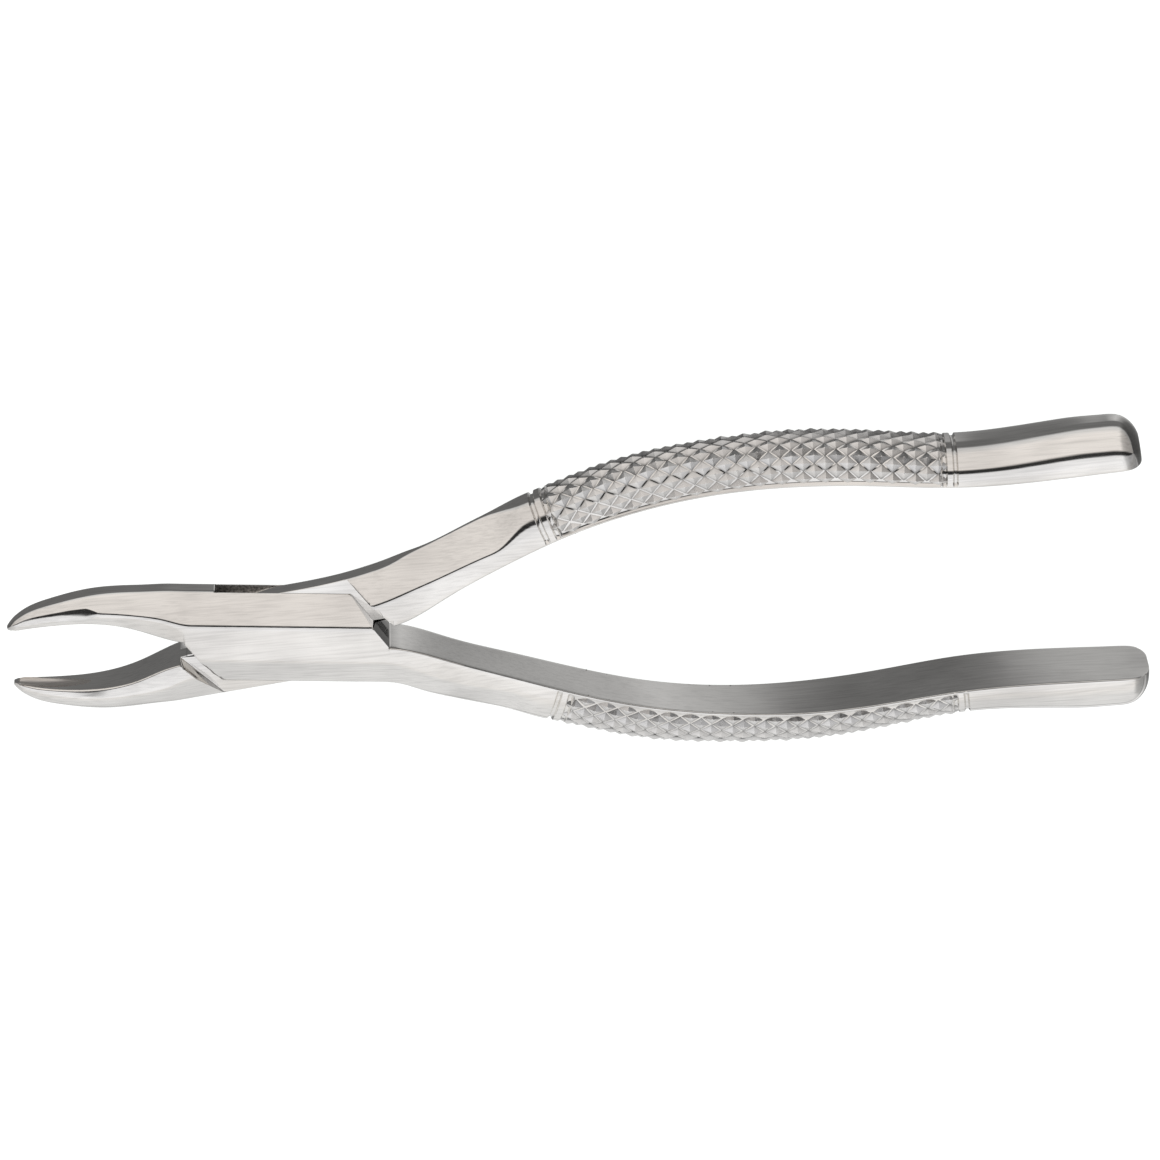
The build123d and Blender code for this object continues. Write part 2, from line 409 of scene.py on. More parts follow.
@dataclass
class Section:
    """Section across a beak or a handle: a flat inner face, straight sides and a rounded back."""

    x: float
    stand_off: float
    z: float
    heading: float
    face_width: float
    width: float
    depth: float
    side_height: float
    crown: float
    bevelled: float = 0.0  # from a rounded back to one with two flat bevels
    facet: float = 0.0  # width of a third, steep facet along the crease

    edge_round: float = 0.3
    crease_round: float = 0.55
    round_pull: float = 0.56  # length of the back's handles, as a share of each leg
    face_steps: int = 8
    corner_steps: int = 4
    side_steps: int = 4
    back_steps: int = 22
    crease_share: float = 0.4  # share of the back's points up to the bevel
    corner_share: float = 0.6  # and up to the bevel's far end
    back_round: float = 0.8
    facet_angle: float = radians(23)  # between the facet and the side
    facet_blend: float = 0.35  # a facet this wide is there in full
    facet_sink: float = 0.35  # share of the facet that lies below the crease

    def half_outline(self) -> np.ndarray:
        """Points from the middle of the inner face round to the middle of the back.

        Returns:
            Rows of (across, outwards) in millimetres.
        """
        half = self.width / 2
        face = np.array((self.face_width / 2, 0.0))
        knee = np.array((half, self.side_height))
        top = np.array((self.crown, self.depth))
        run = knee - face
        run_length = max(float(np.hypot(*run)), TINY)
        edge = min(self.edge_round, 0.45 * run_length, 0.3 * self.face_width)
        start, end = face - np.array((edge, 0.0)), face + run / run_length * edge
        steps = np.linspace(0, 1, self.face_steps, endpoint=False)
        points = [np.array((t * start[0], 0.0)) for t in steps]
        steps = np.linspace(0, 1, self.corner_steps, endpoint=False)
        points += [bend(start, face, end, t) for t in steps]
        side = [end + t * (knee - end) for t in np.linspace(0, 1, self.side_steps, endpoint=False)]

        leg = max(float(np.hypot(*(top - knee))), TINY)
        slope = (top - knee) / leg
        reach = min(self.crease_round, 0.3 * self.side_height, 0.3 * leg)
        share = min(1.0, self.facet / self.facet_blend)
        sink = max(reach, self.facet_sink * self.facet * share)
        for count, point in enumerate(side):
            point[1] -= self.bevelled * sink * count / self.side_steps
        back = [
            (1 - self.bevelled) * self.rounded(knee, top, t)
            + self.bevelled * self.flattened(knee, top, slope, reach, share, t)
            for t in np.linspace(0, 1, self.back_steps)
        ]
        return np.array(points + side + back + [np.array((0.0, self.depth))])

    def rounded(self, knee: np.ndarray, top: np.ndarray, t: float) -> np.ndarray:
        """A point of a rounded back.

        Args:
            knee: where the side ends.
            top: where the crown's flat starts.
            t: share of the way from knee to top.

        Returns:
            The point.
        """
        s = 1 - t
        low = knee + np.array((0.0, self.round_pull * (top[1] - knee[1])))
        high = top + np.array((self.round_pull * (knee[0] - top[0]), 0.0))
        return s**3 * knee + 3 * s * s * t * low + 3 * s * t * t * high + t**3 * top

    def flattened(self, knee: np.ndarray, top: np.ndarray, slope: np.ndarray, reach: float,
                  share: float, t: float) -> np.ndarray:
        """A point of a back ground to a flat bevel, with or without the steep facet.

        Args:
            knee: the crease between side and bevel.
            top: where the bevel meets the level back.
            slope: direction of the bevel.
            reach: how far the crease's rounding reaches.
            share: how far the facet is there, from none to one.
            t: share of the way round.

        Returns:
            The point.
        """
        lean = self.facet * np.array((-sin(self.facet_angle), cos(self.facet_angle)))
        facet = knee - np.array((0.0, self.facet_sink * self.facet))
        after, above = knee + slope * reach, top - slope * self.back_round
        if t < self.crease_share:
            u = t / self.crease_share
            crease = bend(knee - np.array((0.0, reach)), knee, after, u)
            return crease + share * (facet + u * lean - crease)
        if t < self.corner_share:
            u = (t - self.crease_share) / (self.corner_share - self.crease_share)
            start = after + share * (facet + lean - after)
            return start + u * (above - start)
        u = (t - self.corner_share) / (1 - self.corner_share)
        level = top - np.array((min(self.back_round, 0.6 * self.crown), 0.0))
        return bend(above, top, level, u)

    def placed(self, across: np.ndarray, out: np.ndarray, side: int) -> np.ndarray:
        """Puts section points in space.

        Args:
            across: distances across the section.
            out: distances out from the inner face.
            side: 1 for a beak or handle above the centre plane, -1 below it.

        Returns:
            Rows of (x, y, z) in millimetres.
        """
        x = self.x - sin(self.heading) * out
        y = side * (self.stand_off + cos(self.heading) * out)
        return np.stack((x, y, self.z + across), axis=1)


# ---------------------------------------------------------------- meshes


def grid_mesh(name: str, rings: list[np.ndarray]) -> bpy.types.Object:
    """Skins closed rings into a closed tube with a fan at both ends.

    Args:
        name: the object's name.
        rings: rows of points in millimetres, the same number in each.

    Returns:
        The new object, with outward faces.
    """
    count = len(rings[0])
    verts = [tuple(point * MM) for ring in rings for point in ring]
    faces = []
    for i in range(len(rings) - 1):
        for j in range(count):
            k = (j + 1) % count
            faces.append((i * count + j, i * count + k, (i + 1) * count + k, (i + 1) * count + j))
    for first, ring in ((0, rings[0]), ((len(rings) - 1) * count, rings[-1])):
        verts.append(tuple(ring.mean(axis=0) * MM))
        faces += [(first + j, first + (j + 1) % count, len(verts) - 1) for j in range(count)]
    mesh = bpy.data.meshes.new(name)
    mesh.from_pydata(verts, [], faces)
    loose = bmesh.new()
    loose.from_mesh(mesh)
    bmesh.ops.remove_doubles(loose, verts=loose.verts, dist=TINY * 0.01)
    bmesh.ops.recalc_face_normals(loose, faces=loose.faces)
    loose.to_mesh(mesh)
    loose.free()
    return linked(name, mesh)


def linked(name: str, mesh: bpy.types.Mesh) -> bpy.types.Object:
    """Puts a mesh in the scene as an object at the origin.

    Args:
        name: the object's name.
        mesh: its mesh.

    Returns:
        The new object.
    """
    made = bpy.data.objects.new(name, mesh)
    bpy.context.scene.collection.objects.link(made)
    return made


def prism(name: str, outline: list[tuple], low: float, high: float) -> bpy.types.Object:
    """A flat polygon pulled up along Z.

    Args:
        name: the object's name.
        outline: (x, y) corners in millimetres.
        low: lower height.
        high: upper height.

    Returns:
        The new object.
    """
    loose = bmesh.new()
    base, top = (
        [loose.verts.new((x * MM, y * MM, z * MM)) for x, y in outline] for z in (low, high)
    )
    loose.faces.new(base)
    loose.faces.new(top)
    for i in range(len(base)):
        k = (i + 1) % len(base)
        loose.faces.new((base[i], base[k], top[k], top[i]))
    bmesh.ops.recalc_face_normals(loose, faces=loose.faces)
    mesh = bpy.data.meshes.new(name)
    loose.to_mesh(mesh)
    loose.free()
    return linked(name, mesh)


def turned_form(name: str, outline: list[tuple], steps: int) -> bpy.types.Object:
    """A profile turned about the pivot axis.

    Args:
        name: the object's name.
        outline: (radius, height) corners from axis to axis, in millimetres.
        steps: sides of the turned form.

    Returns:
        The new object.
    """
    angles = np.linspace(0, 2 * pi, steps, endpoint=False)
    circle = np.stack((np.cos(angles), np.sin(angles), np.zeros(steps)), axis=1)
    return grid_mesh(name, [radius * circle + (0, 0, height) for radius, height in outline])


def combine(target: bpy.types.Object, tool: bpy.types.Object, how: str) -> None:
    """Joins or cuts one closed form with another, which is used up.

    Args:
        target: the form that is changed.
        tool: the other form.
        how: UNION or DIFFERENCE.
    """
    modifier = target.modifiers.new("combine", "BOOLEAN")
    modifier.object = tool
    modifier.operation = how
    modifier.solver = "EXACT"
    plain(target)
    bpy.data.objects.remove(tool)


def plain(target: bpy.types.Object) -> None:
    """Turns an object's modifiers into plain mesh.

    Args:
        target: the object.
    """
    graph = bpy.context.evaluated_depsgraph_get()
    mesh = bpy.data.meshes.new_from_object(target.evaluated_get(graph))
    target.modifiers.clear()
    target.data = mesh


# ---------------------------------------------------------------- the lock


@dataclass(frozen=True)
class LockSizes:
    """Sizes of the box lock, shared by the two halves and the pin."""

    thickness: float = 9.2
    half_width: float = 7.76
    taper: float = tan(radians(5.8))
    edge_radius: float = 3.0
    root_reach: float = 15.8
    cheek_angle: float = 32.5
    cheek_reach: float = 12.4
    tongue: float = 2.8
    slot: float = 2.9
    web_reach: float = 10.4
    web_root_gap: float = 1.0
    web_tip: float = 0.3
    closing: float = 11.0
    opening: float = 16.0
    stop_clearance: float = 0.1
    waist_clear: float = 1.8
    shoulder_clearance: float = 1.2
    shoulder_start: float = 3.0
    shoulder_rise: float = 1.3
    pin_radius: float = 2.0
    pin_clearance: float = 0.03
    head_radius: float = 2.7
    head_depth: float = 1.0
    sides: int = 96
    arc_steps: int = 13

    @property
    def mid(self) -> float:
        """Height of the middle of the lock."""
        return self.thickness / 2

    @property
    def normal(self) -> tuple[float, float]:
        """Direction square to the cheek ends."""
        return cos(radians(self.cheek_angle)), sin(radians(self.cheek_angle))

    @property
    def root_gap(self) -> float:
        """Height over the centre plane where a beak or handle leaves the lock."""
        across, up = self.normal
        return (across * self.root_reach - self.cheek_reach) / up

    def edge(self, x: float) -> float:
        """Height of the long edge over a beak's side of the lock at x."""
        return self.half_width - self.taper * x

    def cheek_line(self, y: float) -> tuple[float, float]:
        """The point of the left cheek end at a height."""
        across, up = self.normal
        return (-self.cheek_reach - up * y) / across, y

    @property
    def corner_reach(self) -> float:
        """Pivot axis to the outer corner of a cheek."""
        across, up = self.normal
        x = (self.cheek_reach - up * self.half_width) / (across - up * self.taper)
        return hypot(x, self.edge(x))


def opposite(points: list[tuple]) -> list[tuple]:
    """The same points on the other side of the pivot axis."""
    return [(-x, -y) for x, y in points]


# ---------------------------------------------------------------- one half of the forceps


@dataclass
class Knurl:
    """Rolled knurling: rhombic peaks, longer along the handle."""

    long_pitch: float = 3.5
    short_pitch: float = 2.3
    height: float = 0.62
    sink: float = 0.36  # how far the skin under the peaks lies below the handle's outline
    margin: float = 0.55  # plain rim beside the flat
    end_gap: float = 0.6  # share of a pitch left free at the ends of the grip
    most_across: int = 20  # rows tried on each side of the crown
    peak_flat: float = 0.07  # share of a peak that is worn flat
    overlap: float = 1.04  # how far neighbouring peaks run into each other
    unevenness: float = 0.12
    buried: float = 0.12  # how far the peaks stand in the skin
    seed: int = 7

    def tree(self, material: bpy.types.Material) -> bpy.types.NodeTree:
        """Geometry nodes that set a peak on every point of a lattice.

        Args:
            material: the finish of the peaks.

        Returns:
            The node tree, with named inputs for its sizes.
        """
        group = bpy.data.node_groups.new("knurl_peaks", "GeometryNodeTree")
        face = group.interface
        face.new_socket("Geometry", in_out="INPUT", socket_type="NodeSocketGeometry")
        for name in ("Half Length", "Half Width", "Peak Height", "Unevenness"):
            face.new_socket(name, in_out="INPUT", socket_type="NodeSocketFloat")
        face.new_socket("Seed", in_out="INPUT", socket_type="NodeSocketInt")
        face.new_socket("Geometry", in_out="OUTPUT", socket_type="NodeSocketGeometry")
        nodes = Tree(group)
        given = nodes.add("NodeGroupInput").outputs

        peak = nodes.add("GeometryNodeMeshCone", {
            "Vertices": 4, "Radius Top": self.peak_flat, "Radius Bottom": 1.0, "Depth": 1.0,
        }, fill_type="NGON")
        place = nodes.add("GeometryNodeInputPosition").outputs["Position"]
        height = nodes.add("ShaderNodeSeparateXYZ", {"Vector": place}).outputs["Z"]
        # height up each peak, which the knurl material reads to paint shade into the grooves
        stored = nodes.add("GeometryNodeStoreNamedAttribute", {
            "Name": KnurlSteel.height_attribute, "Geometry": peak.outputs["Mesh"], "Value": height,
        }, data_type="FLOAT", domain="POINT")

        outward, along = (
            nodes.add("GeometryNodeInputNamedAttribute", {"Name": name},
                      data_type="FLOAT_VECTOR").outputs["Attribute"]
            for name in ("outward", "along")
        )
        upright = nodes.add("FunctionNodeAlignRotationToVector", {"Vector": outward}, axis="Z")
        lengthwise = nodes.add("FunctionNodeAlignRotationToVector", {
            "Vector": along, "Rotation": upright.outputs["Rotation"],
        }, axis="X", pivot_axis="Z")

        least = nodes.add("ShaderNodeMath", {0: 1.0, 1: given["Unevenness"]}, operation="SUBTRACT")
        uneven = nodes.add("FunctionNodeRandomValue", {
            2: least.outputs["Value"], "Seed": given["Seed"],
        }, data_type="FLOAT")
        tall = nodes.add("ShaderNodeMath", {0: given["Peak Height"], 1: uneven.outputs[1]},
                         operation="MULTIPLY")
        size = nodes.add("ShaderNodeCombineXYZ", {
            "X": given["Half Length"], "Y": given["Half Width"], "Z": tall.outputs["Value"],
        })
        spread = nodes.add("GeometryNodeInstanceOnPoints", {
            "Points": given["Geometry"], "Instance": stored.outputs["Geometry"],
            "Rotation": lengthwise.outputs["Rotation"], "Scale": size.outputs["Vector"],
        })
        real = nodes.add("GeometryNodeRealizeInstances", {"Geometry": spread.outputs["Instances"]})
        dressed = nodes.add("GeometryNodeSetMaterial", {
            "Geometry": real.outputs["Geometry"], "Material": material,
        })
        nodes.add("NodeGroupOutput", {"Geometry": dressed.outputs["Geometry"]})
        return group

    def make(self, name: str, points: np.ndarray, along: np.ndarray, outward: np.ndarray,
             group: bpy.types.NodeTree) -> bpy.types.Object:
        """Sets the peaks on a lattice and turns them into one plain mesh.

        Args:
            name: the piece's name.
            points: where each peak's base lies, in millimetres.
            along: the handle's direction at each peak.
            outward: the direction each peak points in.
            group: the node tree.

        Returns:
            The finished piece.
        """
        lattice = bpy.data.meshes.new(name)
        lattice.from_pydata([tuple(p * MM) for p in points], [], [])
        for label, rows in (("along", along), ("outward", outward)):
            stored = lattice.attributes.new(label, "FLOAT_VECTOR", "POINT")
            stored.data.foreach_set("vector", rows.astype(np.float32).ravel())
        piece = linked(name, lattice)
        modifier = piece.modifiers.new("peaks", "NODES")
        modifier.node_group = group
        values = {
            "Half Length": self.long_pitch / 2 * self.overlap * MM,
            "Half Width": self.short_pitch / 2 * self.overlap * MM,
            "Peak Height": self.height * MM,
            "Unevenness": self.unevenness,
            "Seed": self.seed,
        }
        for item in group.interface.items_tree:
            if item.in_out == "INPUT" and item.name in values:
                modifier[item.identifier] = values[item.name]
        plain(piece)
        return piece


@dataclass
class Half:
    """One half of the forceps: a beak, its part of the box lock and the opposite handle.

    The half is laid out with its beak above the centre plane and its handle below, and the tongue
    half is then turned over.
    """

    name: str
    side: Side
    lock: LockSizes
    finishes: dict[Role, bpy.types.Material]
    beak_length: float = 43.0
    handle_length: float = 134.0
    root_turn: float = 0.3
    tip_round: float = 1.6
    beak_stations: tuple = (
        (0.10, 2.5, 8.1, 9.0, 7.12, 3.3),
        (0.28, 4.4, 7.4, 8.3, 5.60, 2.6),
        (0.51, 5.6, 6.3, 7.2, 4.30, 1.7),
        (0.74, 5.5, 5.0, 5.5, 3.20, 1.0),
        (0.89, 5.0, 3.7, 4.0, 2.30, 0.6),
        (1.00, 4.4, 2.2, 2.3, 0.90, 0.2),
    )
    scoop_ends: tuple = (0.46, 0.97)
    scoop_height: float = 5.85
    scoop_depth: float = 0.7
    scoop_radius: float = 3.0
    handle_stations: tuple = (
        (0.082, 5.6, 8.7, 7.9, 3.6),
        (0.154, 9.4, 9.1, 7.4, 2.8),
        (0.227, 12.9, 9.5, 7.0, 1.6),
        (0.332, 16.7, 9.6, 7.2, 1.0),
        (0.442, 18.9, 10.2, 6.8, 1.0),
        (0.543, 19.5, 11.5, 6.5, 1.0),
        (0.645, 18.8, 12.2, 6.0, 1.0),
        (0.746, 17.6, 12.6, 5.6, 1.0),
        (0.856, 17.4, 12.5, 6.3, 1.2),
        (0.946, 17.8, 12.2, 6.8, 1.4),
    )
    sweep: float = 2.6
    sweep_share: float = 0.23
    crown_flat: float = 0.5
    end_girth: float = 6.9
    end_round: float = 5.2
    collars: tuple = (2, 7)
    groove_width: float = 0.8
    groove_depth: float = 0.45
    groove_spacing: float = 1.7
    bevel_reach: float = 4.7  # height of the bevels along the lock
    bevel_ends: tuple = (-43.0, -22.0, 34.0, 41.0)  # they fade in and out between these places
    facet_places: tuple = (-41.6, -40.2, -33.0, -30.5, -28.5)
    facet_widths: tuple = (0.0, 1.3, 2.1, 2.1, 0.0)
    core: float = -1.0  # the lock's two bars overlap by twice this over the centre plane
    tip_rings: tuple = (-40.5, 16)  # where the close rings of the tip end, and their number
    beak_rings: tuple = (-40.2, 0.3)  # where the even rings of the beak start, and their spacing
    tip_shrink: float = 0.8
    tip_centre: float = 0.4  # share of the depth that the tip shrinks towards
    hollow_limit: float = 0.6  # deepest hollow, as a share of the depth
    hollow_fit: float = 0.07  # a face this near to the hollow is ground
    bar_gap: float = 0.1
    bar_lap: float = 0.05
    bar_rings: tuple = (0.3, 0.6)  # first step and spacing of the rings through the lock
    handle_rings: tuple = (0.3, 0.7)
    collar_rings: tuple = (1.25, 1.6, 0.08)  # offset from the grip, reach to each side, spacing
    dome_rings: int = 26
    groove_lift: float = 0.5
    groove_flat: float = 0.35  # share of a groove's half width that is at full depth
    sink_run: float = 0.3  # length over which the skin under the peaks sinks
    sink_centre: float = 0.35  # share of the depth that the skin is pulled towards
    plain_rim: tuple = (0.25, 0.3)  # heights over the flat where sinking and knurling may start
    end_power: float = 14.0
    end_blend: float = 7.0
    broken_angle: float = radians(32)
    broken_edge: float = 0.12
    knurl: Knurl = field(default_factory=Knurl)

    # -- outlines

    def beak_curve(self) -> Spline:
        """Sections of the beak and of the bar that carries it through the lock.

        Returns:
            The curve. Each row holds stand-off, height, heading, widths of face and body, depth,
                side height and crown.
        """
        lock = self.lock
        run = self.beak_length - lock.root_reach
        line = [(-lock.root_reach, lock.root_gap)]
        line += [(-lock.root_reach - row[0] * run, row[1]) for row in self.beak_stations]
        knots, rows = [], []
        for count in reversed(range(len(self.beak_stations))):
            _, stand, face, width, depth, height = self.beak_stations[count]
            before, after = line[count], line[min(count + 2, len(line) - 1)]
            heading = np.arctan2(before[1] - after[1], before[0] - after[0])
            heading *= 1.0 if count else self.root_turn
            crown = (lock.mid - lock.edge_radius) * width / lock.thickness
            knots.append(line[count + 1][0])
            rows.append((stand, lock.mid, heading, face, width, depth, height, crown))
        for x in (-14.6, -13.4, -12.2, -11.0, -9.0, 0.0, lock.root_reach):
            rows.append(self.block_row(lock.edge(x)))
            knots.append(x)
        return Spline(knots, rows)

    def block_row(self, top: float) -> tuple:
        """Section of a bar of the lock whose back lies at a height.

        Args:
            top: the height over the centre plane.

        Returns:
            A row of the curve.
        """
        lock = self.lock
        depth = top - lock.root_gap
        level = lock.mid - lock.edge_radius
        return (lock.root_gap, lock.mid, 0.0, lock.thickness, lock.thickness, depth,
                depth - self.bevel_reach, level)

    def handle_curve(self) -> Spline:
        """Sections of the handle and of the bar that carries it through the lock.

        Returns:
            The curve. Each row holds stand-off, height, heading, widths of face and body, depth,
                side height and crown.
        """
        lock = self.lock
        run = self.handle_length - lock.root_reach
        line = [(lock.root_reach, lock.root_gap)]
        line += [(lock.root_reach + row[0] * run, row[1]) for row in self.handle_stations]
        knots, rows = [], []
        for x in self.root_knots():
            share = max(0.0, (x - lock.shoulder_start) / (lock.root_reach - lock.shoulder_start))
            rise = lock.shoulder_rise * share**2 if self.side is Side.LOWER else 0.0
            knots.append(x)
            rows.append(self.block_row(lock.edge(-x) + rise))
        for count, (_, stand, width, depth, height) in enumerate(self.handle_stations):
            x = line[count + 1][0]
            before, after = line[count], line[min(count + 2, len(line) - 1)]
            heading = np.arctan2(after[1] - before[1], after[0] - before[0])
            share = min(1.0, (x - lock.root_reach) / (self.sweep_share * run))
            z = lock.mid - self.sweep * share * share * (3 - 2 * share)
            knots.append(x)
            rows.append((stand, z, heading, width, width, depth, height, self.crown_flat))
        beyond = self.handle_length + 1.2
        last = list(rows[-1])
        last[0] += (beyond - knots[-1]) * tan(last[2])
        knots.append(beyond)
        rows.append(tuple(last))
        return Spline(knots, rows)

    def root_knots(self) -> tuple:
        """Where the handle's curve is tied to the lock.

        Returns:
            Places along the part.
        """
        if self.side is Side.LOWER:
            return (-16.0, -3.0, 3.0, 9.4, 12.6, 15.8)
        return (-16.0, 0.0, 9.0, 11.0, 12.2, 13.4, 14.6)

    def section(self, curve: Spline, x: float) -> Section:
        """The section of a curve at x.

        Args:
            curve: the curve of a beak or a handle.
            x: place along the part.

        Returns:
            The section there.
        """
        stand, z, heading, face, width, depth, height, crown = curve.at(x)
        share = float(np.interp(x, self.bevel_ends, (0, 1, 1, 0)))
        share = share * share * (3 - 2 * share)
        facet = 0.0
        if self.side is Side.UPPER:
            facet = float(np.interp(x, self.facet_places, self.facet_widths))
        return Section(x, stand, z, heading, face, width, depth, height, crown, share, facet)

    # -- skins

    def ring(self, section: Section, side: int, half: np.ndarray | None = None) -> np.ndarray:
        """Closed ring of a section.

        Args:
            section: the section.
            side: 1 above the centre plane, -1 below it.
            half: the half outline, where it has been changed.

        Returns:
            Rows of points in millimetres.
        """
        half = section.half_outline() if half is None else half
        back = half[-2:0:-1] * (-1, 1)
        across, out = np.concatenate((half, back)).T
        return section.placed(across, out, side)

    def lock_rings(self, curve: Spline, side: int) -> list[np.ndarray]:
        """Rings of the bar that carries a beak or a handle through the lock.

        Args:
            curve: the bar's curve.
            side: 1 for the beak's bar, -1 for the handle's.

        Returns:
            The rings, from the beak's end to the handle's.
        """
        reach = self.lock.root_reach - self.bar_gap
        first, step = self.bar_rings
        ends = (-reach - self.bar_lap, reach) if side > 0 else (-reach, reach + self.bar_lap)
        places = (ends[0], *np.arange(-reach + first, reach, step), ends[1])
        return [self.ring(self.deepened(self.section(curve, x)), side) for x in places]

    def deepened(self, section: Section) -> Section:
        """The section of a bar of the lock: the same back, but reaching past the centre plane.

        Args:
            section: the section, which is changed.

        Returns:
            The same section.
        """
        back = section.stand_off + cos(section.heading) * section.depth
        bevel = section.depth - section.side_height
        section.x -= sin(section.heading) * section.depth
        section.heading = 0.0
        section.stand_off = self.core
        section.depth = back - self.core
        section.side_height = section.depth - bevel
        section.z = self.lock.mid
        section.width = section.face_width = self.lock.thickness
        section.crown = self.lock.mid - self.lock.edge_radius
        return section

    def hollow(self, x: float, across: np.ndarray | float) -> np.ndarray | float:
        """Height of the hollow ground into the beak's inner face.

        Args:
            x: place along the part.
            across: distance from the middle of the thickness.

        Returns:
            The height over the centre plane, and nought past the ends of the hollow.
        """
        run = self.beak_length - self.lock.root_reach
        far, near = (-self.lock.root_reach - share * run for share in reversed(self.scoop_ends))
        half_run, sagitta = (near - far) / 2, self.scoop_depth
        off = x - (far + near) / 2
        if abs(off) >= half_run:
            return 0.0 * across
        spindle = (half_run**2 + sagitta**2) / (2 * sagitta)
        reach = self.scoop_radius - spindle + (spindle**2 - off**2) ** 0.5
        round_part = np.sqrt(np.clip(reach**2 - across**2, 0, None))
        return self.scoop_height - self.scoop_radius + round_part

    def beak_bar(self) -> bpy.types.Object:
        """The beak and the upper bar of the lock, as one skin.

        Returns:
            The new object.
        """
        curve = self.beak_curve()
        root = self.lock.root_reach
        tip_end, tip_count = self.tip_rings
        start, step = self.beak_rings
        places = (*np.linspace(-self.beak_length, tip_end, tip_count),
                  *np.arange(start, -root - self.bar_gap, step), -root)
        rings = [self.beak_ring(self.section(curve, x)) for x in places]
        return grid_mesh(self.name + "_beak", rings + self.lock_rings(curve, 1))

    def beak_ring(self, section: Section) -> np.ndarray:
        """A ring of the beak, hollowed inside and drawn in towards the tip.

        Args:
            section: the beak's section there.

        Returns:
            Rows of points in millimetres.
        """
        half = section.half_outline()
        hollow = self.hollow(section.x, half[:, 0]) - section.stand_off
        face = half[:, 1] < 0.5 * section.depth
        limit = section.depth * self.hollow_limit
        half[face, 1] = np.maximum(half[face, 1], np.minimum(hollow[face], limit))
        past = np.clip((self.tip_round - self.beak_length - section.x) / self.tip_round, 0, 1)
        centre = np.array((0.0, self.tip_centre * section.depth))
        half = centre + (half - centre) * (1 - self.tip_shrink * past**2) ** 0.5
        return self.ring(section, 1, half)

    def groove(self, x: float) -> float:
        """Depth of the collars' grooves at x, from nothing to one.

        Args:
            x: place along the part.

        Returns:
            The share of the grooves' full depth.
        """
        run = self.handle_length - self.lock.root_reach
        deepest = 0.0
        for station in self.collars:
            middle = self.lock.root_reach + self.handle_stations[station][0] * run
            for shift in (-self.groove_spacing / 2, self.groove_spacing / 2):
                off = abs(x - middle - shift) / (self.groove_width / 2)
                slope = max(0.0, off - self.groove_flat) / (1 - self.groove_flat)
                deepest = max(deepest, 1 - slope**2 if off < 1 else 0.0)
        return deepest

    def knurl_span(self) -> tuple[float, float]:
        """Where the knurling starts and ends.

        Returns:
            Both places along the part.
        """
        run = self.handle_length - self.lock.root_reach
        ends = [self.lock.root_reach + self.handle_stations[i][0] * run for i in self.collars]
        gap = self.groove_spacing / 2 + self.groove_width / 2
        return ends[0] + gap, ends[1] - gap

    def sunk(self, section: Section, depth: float, lift: float) -> np.ndarray:
        """Half outline whose back is pulled in, and left whole at the flat.

        Args:
            section: the section.
            depth: how far the back is pulled in.
            lift: height over the flat at which it is pulled in fully.

        Returns:
            Rows of (across, outwards) in millimetres.
        """
        half = section.half_outline()
        centre = np.array((0.0, self.sink_centre * section.depth))
        inward = centre - half
        inward /= np.linalg.norm(inward, axis=1)[:, None]
        share = np.clip((half[:, 1] - self.plain_rim[0]) / lift, 0, 1)
        return half + inward * (depth * share * share * (3 - 2 * share))[:, None]

    def end_kept(self, points: np.ndarray, end: tuple[float, float]) -> np.ndarray:
        """Rounds the handle's end by keeping its skin inside a turned form.

        Args:
            points: rows of points in millimetres.
            end: (y, z) of the middle of the flat face at the end.

        Returns:
            The points inside the form.
        """
        start = self.handle_length - self.end_round
        reach = np.clip(points[:, 0] - start, 0, self.end_round)
        limit = self.end_girth - self.end_round + np.sqrt(self.end_round**2 - reach**2)
        off = points[:, 1:] - np.array(end)
        distance = np.linalg.norm(off, axis=1)
        share = np.maximum(distance, TINY) / limit
        kept = (1 + share**self.end_power) ** (-1 / self.end_power)
        blend = np.clip((points[:, 0] - start + self.end_blend) / self.end_blend, 0, 1)
        scale = 1 + (kept - 1) * blend * blend * (3 - 2 * blend)
        x = np.minimum(points[:, :1], self.handle_length)
        return np.concatenate((x, np.array(end) + off * scale[:, None]), axis=1)

    def handle_bar(self) -> bpy.types.Object:
        """The handle and the lower bar of the lock, as one skin.

        Returns:
            The new object.
        """
        curve = self.handle_curve()
        root, dome_start = self.lock.root_reach, self.handle_length - self.end_round
        lead, step = self.handle_rings
        places = [root, *np.arange(root + lead, dome_start, step)]
        first, last = self.knurl_span()
        offset, reach, fine = self.collar_rings
        for middle in (first - offset, last + offset):
            places += list(np.arange(middle - reach, middle + reach, fine))
        dome = np.linspace(0, pi / 2, self.dome_rings)
        places += list(dome_start + self.end_round * np.sin(dome))
        stand_off, z = curve.at(self.handle_length)[:2]
        rings = self.lock_rings(curve, -1)
        for x in sorted(places):
            section = self.section(curve, x)
            groove, inside = self.groove(x), min(x - first, last - x)
            if groove > 0:
                half = self.sunk(section, self.groove_depth * groove, self.groove_lift)
            elif inside > 0:
                depth = self.knurl.sink * min(1.0, inside / self.sink_run)
                half = self.sunk(section, depth, self.knurl.margin)
            else:
                half = section.half_outline()
            ring = self.ring(section, -1, half)
            past_grip = x > dome_start - self.end_blend
            rings.append(self.end_kept(ring, (PAST_CENTRE - stand_off, z)) if past_grip else ring)
        return grid_mesh(self.name + "_handle", rings)

    # -- knurling

